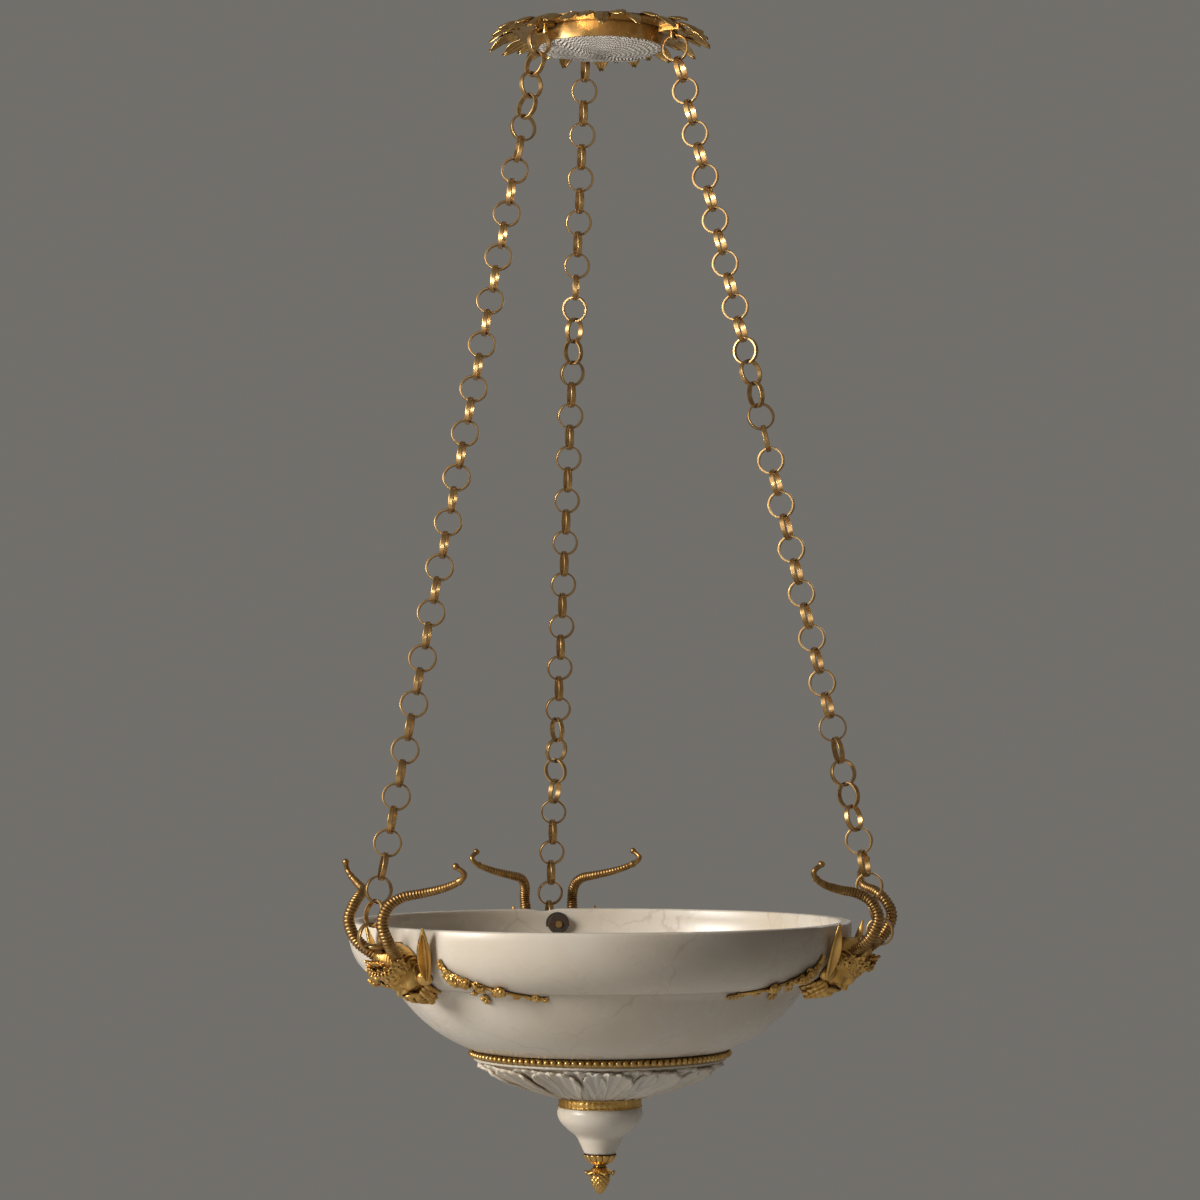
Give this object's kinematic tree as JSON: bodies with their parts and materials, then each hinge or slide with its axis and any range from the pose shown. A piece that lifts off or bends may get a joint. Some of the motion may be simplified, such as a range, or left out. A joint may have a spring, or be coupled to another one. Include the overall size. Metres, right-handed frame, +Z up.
{
  "type": "alabaster chandelier",
  "caption": "Hanging light bowl of turned alabaster on ring chains from a leafed gilt crown, with satyr masks, garlands, a carved base and a pine cone drop.",
  "frame": {"origin": "middle of the ceiling eye's bore", "axes": "+Z up along the hanging axis, +Y along the eye's bore towards the back mask, +X to the right"},
  "size_m": [0.5408, 0.5504, 1.1801],
  "materials": {
    "alabaster": "polished, translucent",
    "gilt_bronze": "aged gilt",
    "chain_brass": "aged gilt",
    "horn_bronze": "dark patina",
    "iron": "rusty black",
    "lining": "cream knit"
  },
  "bodies": {
    "hanger": {"ceiling_eye": "gilt_bronze", "ceiling_eye_nut": "iron", "ceiling_eye_washer": "iron"},
    "crown": {"crown_hoop": "gilt_bronze", "crown_leaves_lower": "gilt_bronze", "crown_leaves_upper": "gilt_bronze", "crown_lining": "lining", "crown_rivets": "gilt_bronze", "crown_spider": "gilt_bronze", "crown_staple_back": "gilt_bronze", "crown_staple_left": "gilt_bronze", "crown_staple_right": "gilt_bronze", "lining_ring": "gilt_bronze"},
    "left_top_ring": {"chain_left_top_ring": "chain_brass"},
    "left_chain": {"chain_left": "chain_brass"},
    "left_bottom_ring": {"chain_left_bottom_ring": "chain_brass"},
    "right_top_ring": {"chain_right_top_ring": "chain_brass"},
    "right_chain": {"chain_right": "chain_brass", "chain_right_bottom_ring": "chain_brass"},
    "back_top_ring": {"chain_back_top_ring": "chain_brass"},
    "back_chain": {"chain_back": "chain_brass", "chain_back_bottom_ring": "chain_brass"},
    "bowl": {"alabaster_bowl": "alabaster", "alabaster_drop": "alabaster", "bead_ring": "gilt_bronze", "calyx": "gilt_bronze", "carved_base": "alabaster", "mask_back_eye_bolt": "gilt_bronze", "mask_back_head": "gilt_bronze", "mask_back_left_garland": "gilt_bronze", "mask_back_left_horn": "horn_bronze", "mask_back_nut": "iron", "mask_back_right_garland": "gilt_bronze", "mask_back_right_horn": "horn_bronze", "mask_back_washer": "iron", "mask_left_eye_bolt": "gilt_bronze", "mask_left_head": "gilt_bronze", "mask_left_left_garland": "gilt_bronze", "mask_left_left_horn": "horn_bronze", "mask_left_nut": "iron", "mask_left_right_garland": "gilt_bronze", "mask_left_right_horn": "horn_bronze", "mask_left_washer": "iron", "mask_right_eye_bolt": "gilt_bronze", "mask_right_head": "gilt_bronze", "mask_right_left_garland": "gilt_bronze", "mask_right_left_horn": "horn_bronze", "mask_right_nut": "iron", "mask_right_right_garland": "gilt_bronze", "mask_right_right_horn": "horn_bronze", "mask_right_washer": "iron", "neck_band": "gilt_bronze", "pine_cone": "gilt_bronze", "tie_rod": "iron", "tie_rod_nut": "iron", "tie_rod_washer": "iron"}
  },
  "joints": [
    {"name": "crown_swivel", "type": "hinge", "parent": "hanger", "child": "crown", "pos_m": [0, 0, 0], "axis": [0, 0, 1], "continuous": true},
    {"name": "left_sway_x", "type": "hinge", "parent": "crown", "child": "left_top_ring", "pos_m": [-0.06738, -0.0389, -0.02], "axis": [1, 0, 0], "range_deg": [-6, 6]},
    {"name": "left_sway_y", "type": "hinge", "parent": "left_top_ring", "child": "left_chain", "pos_m": [-0.07152, -0.04129, -0.04031], "axis": [0, 1, 0], "range_deg": [-6, 6]},
    {"name": "bowl_tilt_x", "type": "hinge", "parent": "left_chain", "child": "left_bottom_ring", "pos_m": [-0.24614, -0.14211, -0.8958], "axis": [1, 0, 0], "range_deg": [-2, 2]},
    {"name": "bowl_tilt_y", "type": "hinge", "parent": "left_bottom_ring", "child": "bowl", "pos_m": [-0.25028, -0.1445, -0.91611], "axis": [0, 1, 0], "range_deg": [-2, 2]},
    {"name": "right_sway_x", "type": "hinge", "parent": "crown", "child": "right_top_ring", "pos_m": [0.06738, -0.0389, -0.02], "axis": [1, 0, 0], "range_deg": [-6, 6]},
    {"name": "right_sway_y", "type": "hinge", "parent": "right_top_ring", "child": "right_chain", "pos_m": [0.07152, -0.04129, -0.04031], "axis": [0, 1, 0], "range_deg": [-6, 6]},
    {"name": "back_sway_x", "type": "hinge", "parent": "crown", "child": "back_top_ring", "pos_m": [0, 0.0778, -0.02], "axis": [1, 0, 0], "range_deg": [-6, 6]},
    {"name": "back_sway_y", "type": "hinge", "parent": "back_top_ring", "child": "back_chain", "pos_m": [0, 0.08259, -0.04031], "axis": [0, 1, 0], "range_deg": [-6, 6]}
  ],
  "couplings": [
    {"joint": "bowl_tilt_x", "follows": "left_sway_x", "ratio": -0.27374},
    {"joint": "bowl_tilt_y", "follows": "left_sway_y", "ratio": -0.28577},
    {"joint": "right_sway_x", "follows": "left_sway_x", "ratio": 1},
    {"joint": "right_sway_y", "follows": "left_sway_y", "ratio": 1},
    {"joint": "back_sway_x", "follows": "left_sway_x", "ratio": 1},
    {"joint": "back_sway_y", "follows": "left_sway_y", "ratio": 1}
  ]
}
